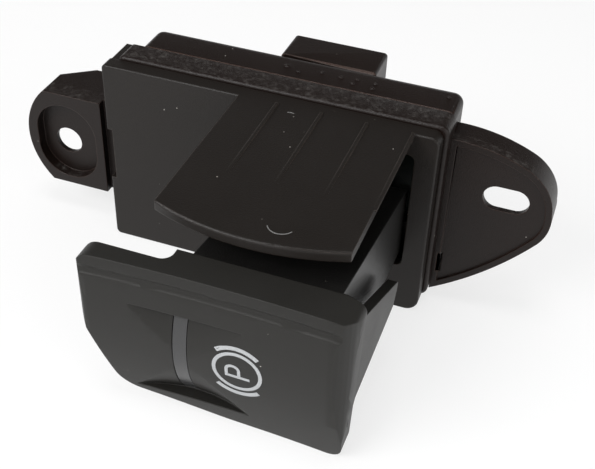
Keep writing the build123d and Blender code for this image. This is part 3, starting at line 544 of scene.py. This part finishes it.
def combine(first, second, operation):
    """The boolean of two meshes, as a new mesh."""
    bodies = [new_object("blank", data) for data in (first, second)]
    step = bodies[0].modifiers.new("combine", "BOOLEAN")
    step.solver = "MANIFOLD"
    step.operation = operation
    step.object = bodies[1]
    shaped = bodies[0].evaluated_get(bpy.context.evaluated_depsgraph_get())
    result = bpy.data.meshes.new_from_object(shaped)
    for body in bodies:
        bpy.data.objects.remove(body)
    return result


LEFT_EAR_FACE = 5.0
LEFT_EAR_TIP = 8.4
LEFT_EAR_BACK = 18.0
LEFT_EAR_TOP = -13.6
LEFT_EAR_LOW = -37.8
LEFT_EAR_END = -23.9
LEFT_EAR_SHOULDER = -18.8
LEFT_EAR_CORNER = -12.0
LEFT_EAR_WALL = 1.6
LEFT_EAR_ROOT = 4.8
LEFT_EAR_STEP = 1.9
EAR_GAP = -4.4
POCKET = (-13.9, -26.2, 7.55, 9.7)
POCKET_DEPTH = 2.6
WEB = 1.2
SCREW_HOLE = (-15.0, -27.5, 3.3)
SIDE_SLIT = (-1.45, -0.05, -21.0, -17.4)
RIM_SIDE = (2.38, 74.22)

# How far the cutting blocks reach. Most of their ends lie clear of the ears. The room's right end,
# 0.9, is a wall of the left ear.
EARS_FRONT = 0.0
EARS_BACK = 20.0
EAR_ROOM_BACK = 21.0
EAR_ROOM_BOX = (-30, 0.9, 0, 22, -45, 0)
EAR_GAP_END = 6.0
SIDE_SLIT_PAST = 4.0
HOLE_PAST = 12.0
SIDES_PAST = (-40, 110)
AROUND_EARS = (-5, 40, -60, 10)


def left_ear_front(inset):
    middle = (LEFT_EAR_TOP + LEFT_EAR_LOW) / 2
    end = arc_through(
        (LEFT_EAR_SHOULDER, LEFT_EAR_TOP - inset), (LEFT_EAR_END + inset, middle),
        (LEFT_EAR_SHOULDER, LEFT_EAR_LOW + inset), 32,
    )
    return end + [(LEFT_EAR_ROOT, LEFT_EAR_LOW + inset), (LEFT_EAR_ROOT, LEFT_EAR_TOP - inset)]


def ring_outline(x, z, half_width, half_height, steps=48):
    """A circle, or a slot with round ends when the two halves differ."""
    radius = min(half_width, half_height)
    points = []
    for i in range(steps):
        angle = 2 * math.pi * (i + 0.5) / steps
        dx = (half_width - radius) * (1 if math.cos(angle) > 0 else -1)
        dz = (half_height - radius) * (1 if math.sin(angle) > 0 else -1)
        points.append((x + dx + radius * math.cos(angle), z + dz + radius * math.sin(angle)))
    return points


def left_ear_mesh():
    plan = [
        (LEFT_EAR_END - 1, LEFT_EAR_FACE), (LEFT_EAR_END - 1, LEFT_EAR_TIP), (LEFT_EAR_CORNER, LEFT_EAR_BACK),
        (LEFT_EAR_ROOT - 0.05, LEFT_EAR_BACK), (LEFT_EAR_ROOT - 0.05, LEFT_EAR_FACE),
    ]
    height = (LEFT_EAR_LOW - 1, LEFT_EAR_TOP + 1)
    front = block_from(left_ear_front(0), EARS_FRONT, EARS_BACK)
    ear = combine(front, block_from(plan, *height, axis="Z"), "INTERSECT")
    seat = LEFT_EAR_FACE + POCKET_DEPTH
    room = block_from(left_ear_front(LEFT_EAR_WALL), seat + WEB, EAR_ROOM_BACK)
    room = combine(room, box_from(*EAR_ROOM_BOX), "INTERSECT")
    ear = combine(ear, room, "DIFFERENCE")
    step = box_from(EAR_GAP, EAR_GAP_END, EARS_FRONT, LEFT_EAR_FACE + LEFT_EAR_STEP, *height)
    ear = combine(ear, step, "DIFFERENCE")
    left, right, low, high = SIDE_SLIT
    slit = box_from(left, right, EARS_FRONT, seat + SIDE_SLIT_PAST, low, high)
    ear = combine(ear, slit, "DIFFERENCE")
    ear = combine(ear, block_from(ring_outline(*POCKET), EARS_FRONT, seat), "DIFFERENCE")
    x, z, radius = SCREW_HOLE
    hole = block_from(ring_outline(x, z, radius, radius), EARS_FRONT, HOLE_PAST)
    return combine(ear, hole, "DIFFERENCE")


RIGHT_EAR_FACE = 6.8
RIGHT_EAR_THICK = 6.7
RIGHT_EAR_PLATE = 1.8
RIGHT_EAR_ROOT = 74.0
RIGHT_EAR_END = 96.7
EAR_LIP = 1.4
EAR_LIP_RISE = 0.5
EAR_RIB = 1.4
EAR_RIB_DROPS = (9.4, 16.4)
EAR_RIB_END = 95.0
EAR_RIB_START = 0.1
SCREW_SLOT = (86.9, -15.6, 4.8, 2.9)
FOOT_SLIT = (74.8, 75.8, -38.1, -32.9)


def right_ear_front():
    """The outline seen from the front: crown, shoulder, nose and the long curve down to the foot."""
    crown = arc_through((RIGHT_EAR_ROOT, -3.6), (82.5, -4.4), (90.0, -6.9))
    shoulder = arc_through(crown[-1], (95.0, -11.4), (RIGHT_EAR_END - 0.2, -16.5))
    nose = arc_through(shoulder[-1], (RIGHT_EAR_END - 0.3, -20.9), (94.6, -24.6))
    down = arc_through(nose[-1], (86.6, -33.5), (RIGHT_EAR_ROOT, -43.2))
    return crown + shoulder[1:] + nose[1:] + down[1:]


def right_ear_mesh():
    outline = right_ear_front()
    inside = inset_outline(outline, EAR_LIP)
    back = RIGHT_EAR_FACE + RIGHT_EAR_THICK
    ear = block_from(outline, RIGHT_EAR_FACE, back)
    ear = combine(ear, block_from(inside, RIGHT_EAR_FACE + RIGHT_EAR_PLATE, back + 1), "DIFFERENCE")
    ear = combine(ear, block_from(inside, RIGHT_EAR_FACE - 1, RIGHT_EAR_FACE + EAR_LIP_RISE), "DIFFERENCE")
    rib_front = RIGHT_EAR_FACE + EAR_LIP_RISE + EAR_RIB_START
    for drop in EAR_RIB_DROPS:
        z = SCREW_SLOT[1] - drop
        rib = box_from(RIGHT_EAR_ROOT, EAR_RIB_END, rib_front, back, z - EAR_RIB / 2, z + EAR_RIB / 2)
        kept = combine(rib, block_from(outline, RIGHT_EAR_FACE, back + 1), "INTERSECT")
        ear = combine(ear, kept, "UNION")
    ear = combine(ear, block_from(ring_outline(*SCREW_SLOT), EARS_FRONT, EARS_BACK), "DIFFERENCE")
    left, right, low, high = FOOT_SLIT
    return combine(ear, box_from(left, right, EARS_FRONT, EARS_BACK, low, high), "DIFFERENCE")


SAME_POINT = 1e-7


def node_mesh(node):
    """A copy of a node's surface, with the seams between its faces closed."""
    mesh = bmesh.new()
    mesh.from_mesh(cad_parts[node].data)
    bmesh.ops.remove_doubles(mesh, verts=mesh.verts, dist=SAME_POINT)
    return finished_mesh(mesh, node)


def reshape_ears():
    """The housing without its plain ears, and the two fuller ears in their place."""
    shell = node_mesh("rear_housing")
    for x0, x1 in ((SIDES_PAST[0], RIM_SIDE[0]), (RIM_SIDE[1], SIDES_PAST[1])):
        shell = combine(shell, box_from(x0, x1, *AROUND_EARS), "DIFFERENCE")
    shell = add_piece("housing_shell", shell, HOUSING_BLACK, "housing")
    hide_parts("rear_housing")
    add_piece("left_ear", left_ear_mesh(), HOUSING_BLACK, "housing")
    add_piece("right_ear", right_ear_mesh(), HOUSING_BLACK, "housing")
    return shell


HANDLE_PLAN = ((20.6, -51.2, 4.0), (72.6, -51.2, 6.5), (72.6, 0.0, 0.0), (20.6, 0.0, 0.0))
HANDLE_FRONT = ((20.6, -5.9, 3.4), (72.6, -5.9, 1.6), (72.6, -41.5, 4.5), (20.6, -41.5, 6.0))
HANDLE_HEIGHT = (-50, 0)
HANDLE_DEPTH = (-60, 10)


def reshape_handle():
    """The handle with its corners rounded in plan and from the front."""
    cap = node_mesh("knob_cap")
    cap = combine(cap, block_from(rounded_outline(HANDLE_PLAN), *HANDLE_HEIGHT, axis="Z"), "INTERSECT")
    cap = combine(cap, block_from(rounded_outline(HANDLE_FRONT), *HANDLE_DEPTH), "INTERSECT")
    cap = add_piece("handle_cap", cap, KNOB_BLACK, "lever", HANDLE_EDGE_ROUND)
    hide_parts("knob_cap")
    return cap


HOUSING_SHELL = reshape_ears()
HANDLE_CAP = reshape_handle()


# The brake symbol, printed on the handle's face

SYMBOL_CENTRE = (51.5, -24.1)
SYMBOL_RING = (4.11, 4.83)
SYMBOL_ARC = (5.45, 6.35)
SYMBOL_ARC_HALF = 42.0
PRINT_RISE = 0.06
PRINT_SINK = 0.02
FACE_START_Y = -56.0
LETTER_STROKE = 0.62
LETTER_STEM = ((2.4, -1.35), (0.9, -1.35), (-0.9, -1.35), (-2.35, -1.35))
BOWL_START = ((-2.05, -1.35), (-2.05, 0.0))
BOWL_END = (0.35, -1.35)
BOWL_CENTRE = (-0.85, 0.25)
BOWL_REACH = (1.2, 1.05)
BOWL_STEPS = 12


def surface_tree(obj):
    return BVHTree.FromObject(obj, bpy.context.evaluated_depsgraph_get())


def band(r0, r1, start, end, steps):
    """Rows of points between two radii, from one angle to another, in degrees."""
    rows = []
    for i in range(steps + 1):
        angle = math.radians(start + (end - start) * i / steps)
        rows.append([(r * math.cos(angle), r * math.sin(angle)) for r in (r0, r1)])
    return rows


def stroke(points, width):
    """Rows of points either side of a path."""
    rows = []
    for i, point in enumerate(points):
        before = Vector(points[max(i - 1, 0)])
        after = Vector(points[min(i + 1, len(points) - 1)])
        along = (after - before).normalized()
        side = Vector((-along.y, along.x)) * width / 2
        rows.append([tuple(Vector(point) - side), tuple(Vector(point) + side)])
    return rows


def letter_rows():
    """The letter stands on its side, its foot to the right."""
    bowl = list(BOWL_START)
    for i in range(BOWL_STEPS + 1):
        angle = math.radians(180 - 180 * i / BOWL_STEPS)
        across = BOWL_CENTRE[0] + BOWL_REACH[0] * math.cos(angle)
        bowl.append((across, BOWL_CENTRE[1] + BOWL_REACH[1] * math.sin(angle)))
    bowl.append(BOWL_END)
    return [stroke(LETTER_STEM, LETTER_STROKE), stroke(bowl, LETTER_STROKE)]


def add_symbol():
    tree = surface_tree(HANDLE_CAP)
    mesh = bmesh.new()
    shapes = [
        band(*SYMBOL_RING, 0, 360, 96),
        band(*SYMBOL_ARC, 90 - SYMBOL_ARC_HALF, 90 + SYMBOL_ARC_HALF, 32),
        band(*SYMBOL_ARC, 270 - SYMBOL_ARC_HALF, 270 + SYMBOL_ARC_HALF, 32),
    ] + letter_rows()
    for rows in shapes:
        placed = []
        for row in rows:
            line = []
            for x, z in row:
                start = at(SYMBOL_CENTRE[0] + x, FACE_START_Y, SYMBOL_CENTRE[1] + z)
                hit, normal, _, _ = tree.ray_cast(start, Vector((0, 1, 0)))
                top = mesh.verts.new(hit + normal * PRINT_RISE * MM)
                line.append((top, mesh.verts.new(hit - normal * PRINT_SINK * MM)))
            placed.append(line)
        for a, b in zip(placed, placed[1:]):
            mesh.faces.new((a[0][0], a[1][0], b[1][0], b[0][0]))
            mesh.faces.new((a[0][1], b[0][1], b[1][1], a[1][1]))
            mesh.faces.new((a[0][0], b[0][0], b[0][1], a[0][1]))
            mesh.faces.new((a[1][0], a[1][1], b[1][1], b[1][0]))
        for end in (placed[0], placed[-1]):
            mesh.faces.new((end[0][0], end[0][1], end[1][1], end[1][0]))
    bmesh.ops.remove_doubles(mesh, verts=mesh.verts, dist=SAME_POINT)
    bmesh.ops.recalc_face_normals(mesh, faces=mesh.faces)
    data = finished_mesh(mesh, "brake_symbol")
    symbol = new_object("brake_symbol", data)
    data.materials.append(PRINT)
    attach(symbol, "lever")


add_symbol()


# Moulding marks: bumps on the cap, and painted highlights on the rims of the shelf's ejector marks

CAP_BUMPS = (
    (36.6, 13.6, 0.75), (39.6, 12.2, 0.5), (44.3, 13.8, 0.5),
    (48.5, 13.6, 0.6), (51.5, 12.0, 0.5), (51.9, 14.0, 0.5),
    (55.8, 11.8, 0.6), (55.9, 13.8, 0.5), (71.2, 14.6, 0.5),
)
BUMP_RISE = 0.35
BUMP_DEPTH_SHARE = 0.8
# Arcs of painted highlight where light catches the rims of ejector marks: x, y, radius, first and last angle
# in degrees.
SHELF_MARK_GLINTS = ((54.3, -36.1, 2.5, 205, 335), (43.3, -3.4, 1.4, 60, 120))
GLINT_HALF_WIDTH = 0.09
ABOVE_ALL = 20.0


def drop_onto(tree, x, y):
    """The point of a surface's top that lies under x, y."""
    hit, _, _, _ = tree.ray_cast(at(x, y, ABOVE_ALL), Vector((0, 0, -1)))
    return hit


def add_cap_bumps():
    tree = surface_tree(HOUSING_SHELL)
    mesh = bmesh.new()
    for x, y, radius in CAP_BUMPS:
        place = Matrix.Translation(drop_onto(tree, x, y))
        stretch = Matrix.Diagonal((radius * MM, radius * MM * BUMP_DEPTH_SHARE, BUMP_RISE * MM, 1.0))
        bmesh.ops.create_icosphere(mesh, subdivisions=3, radius=1.0, matrix=place @ stretch)
    data = finished_mesh(mesh, "cap_bumps")
    data.shade_smooth()
    bumps = new_object("cap_bumps", data)
    data.materials.append(HOUSING_BLACK)
    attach(bumps, "housing")


# Pale arcs on the shelf: a painted highlight along part of each ejector mark's rim.
def add_shelf_mark_glints():
    tree = surface_tree(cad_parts["front_cover"])
    mesh = bmesh.new()
    for x, y, radius, start, end in SHELF_MARK_GLINTS:
        foot = drop_onto(tree, x, y)
        rows = []
        for inner, outer in band(radius - GLINT_HALF_WIDTH, radius + GLINT_HALF_WIDTH, start, end, 24):
            corners = [Vector((foot.x + px * MM, foot.y + py * MM, foot.z)) for px, py in (inner, outer)]
            lift = Vector((0, 0, PRINT_RISE * MM))
            rows.append([mesh.verts.new(corner + side) for side in (lift, -lift) for corner in corners])
        for a, b in zip(rows, rows[1:]):
            for i, j in ((0, 1), (1, 3), (3, 2), (2, 0)):
                mesh.faces.new((a[i], a[j], b[j], b[i]))
        for row in (rows[0], rows[-1]):
            mesh.faces.new((row[0], row[1], row[3], row[2]))
    bmesh.ops.recalc_face_normals(mesh, faces=mesh.faces)
    data = finished_mesh(mesh, "ejector_mark_glints")
    mark_glints = new_object("ejector_mark_glints", data)
    data.materials.append(GLINT_GREY)
    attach(mark_glints, "housing")


add_cap_bumps()
add_shelf_mark_glints()


# Table, light and surroundings. The part rests on the plate's lower edge and on the handle's.

PLATE_FOOT = -45.0
HANDLE_FOOT_Y = -47.6
HANDLE_FOOT_Z = -41.4
TABLE_GAP = 0.05
TABLE_HALF = 6.0
TABLE_WHITE = 0.95
TABLE_GLOW = 0.72


def add_table():
    """A white table that shows to the eye as nearly white, and keeps the part's shadow."""
    slope = (HANDLE_FOOT_Z - PLATE_FOOT) / HANDLE_FOOT_Y
    middle = at(40.0, 0.0, PLATE_FOOT - TABLE_GAP)
    data = bpy.data.meshes.new("table")
    half = TABLE_HALF
    corners = [(-half, -half), (half, -half), (half, half), (-half, half)]
    points = [(middle.x + x, middle.y + y, middle.z + slope * y) for x, y in corners]
    data.from_pydata(points, [], [(0, 1, 2, 3)])
    table = new_object("table", data)
    material, tree, shader = start_material("table white")
    shader.inputs["Base Color"].default_value = (TABLE_WHITE, TABLE_WHITE, TABLE_WHITE, 1.0)
    shader.inputs["Roughness"].default_value = 0.6
    glow = add_node(tree, "ShaderNodeEmission", {"Color": (1.0, 1.0, 1.0, 1.0), "Strength": 1.0})
    rays = add_node(tree, "ShaderNodeLightPath")
    seen = add_node(tree, "ShaderNodeMath", operation="MAXIMUM")
    join(tree, rays, "Is Camera Ray", seen, 0)
    join(tree, rays, "Is Glossy Ray", seen, 1)
    seen_too = add_node(tree, "ShaderNodeMath", operation="MAXIMUM")
    join(tree, seen, 0, seen_too, 0)
    join(tree, rays, "Is Transmission Ray", seen_too, 1)
    share = add_node(tree, "ShaderNodeMath", {1: TABLE_GLOW}, operation="MULTIPLY")
    join(tree, seen_too, 0, share, 0)
    blend = add_node(tree, "ShaderNodeMixShader")
    join(tree, share, 0, blend, 0)
    tree.links.new(shader.outputs[0], blend.inputs[1])
    tree.links.new(glow.outputs[0], blend.inputs[2])
    tree.links.new(blend.outputs[0], tree.nodes["Material Output"].inputs["Surface"])
    data.materials.append(material)


WORLD_STRENGTH = 0.35
CEILING_GLOSS = 0.12
CEILING_START = 0.02
CEILING_END = 0.3


def add_world():
    """White to the eye, and as gloss sees it white at the horizon and dim overhead."""
    world = bpy.data.worlds.new("studio")
    bpy.context.scene.world = world
    world.use_nodes = True
    tree = world.node_tree
    direction = add_node(tree, "ShaderNodeTexCoord")
    axes = add_node(tree, "ShaderNodeSeparateXYZ")
    join(tree, direction, "Generated", axes, "Vector")
    overhead = ramp(tree, CEILING_START, CEILING_END)
    overhead.inputs["To Min"].default_value = 1.0
    overhead.inputs["To Max"].default_value = CEILING_GLOSS
    join(tree, axes, "Z", overhead, "Value")
    rays = add_node(tree, "ShaderNodeLightPath")
    gloss = add_node(tree, "ShaderNodeMix", {"A": WORLD_STRENGTH})
    join(tree, rays, "Is Glossy Ray", gloss, "Factor")
    join(tree, overhead, "Result", gloss, "B")
    seen = add_node(tree, "ShaderNodeMath", operation="MAXIMUM")
    join(tree, rays, "Is Camera Ray", seen, 0)
    join(tree, rays, "Is Transmission Ray", seen, 1)
    strength = add_node(tree, "ShaderNodeMix", {"B": 1.0})
    join(tree, seen, 0, strength, "Factor")
    join(tree, gloss, "Result", strength, "A")
    join(tree, strength, "Result", tree.nodes["Background"], "Strength")
    tree.nodes["Background"].inputs["Color"].default_value = (1.0, 1.0, 1.0, 1.0)


def add_lamp(name, place, target, size, power):
    data = bpy.data.lights.new(name, "AREA")
    data.shape = "RECTANGLE"
    data.size, data.size_y = size
    data.energy = power
    lamp = new_object(name, data)
    lamp.location = place
    lamp.rotation_euler = (Vector(target) - Vector(place)).to_track_quat("-Z", "Y").to_euler()


# Each lamp's name, its place from the part's middle, its size in metres and its power in watts
LAMPS = (
    ("key", (-0.35, -0.55, 0.55), (0.5, 0.4), 6.0),
    ("fill", (0.6, -0.3, 0.3), (0.5, 0.4), 2.0),
    ("top", (0.0, -0.1, 0.85), (0.3, 0.3), 2.0),
)
MIDDLE = at(40.0, -15.0, -20.0)

add_camera()
add_table()
add_world()
for lamp_name, from_middle, lamp_size, watts in LAMPS:
    add_lamp(lamp_name, MIDDLE + Vector(from_middle), MIDDLE, lamp_size, watts)

bpy.context.scene.view_settings.view_transform = "Standard"
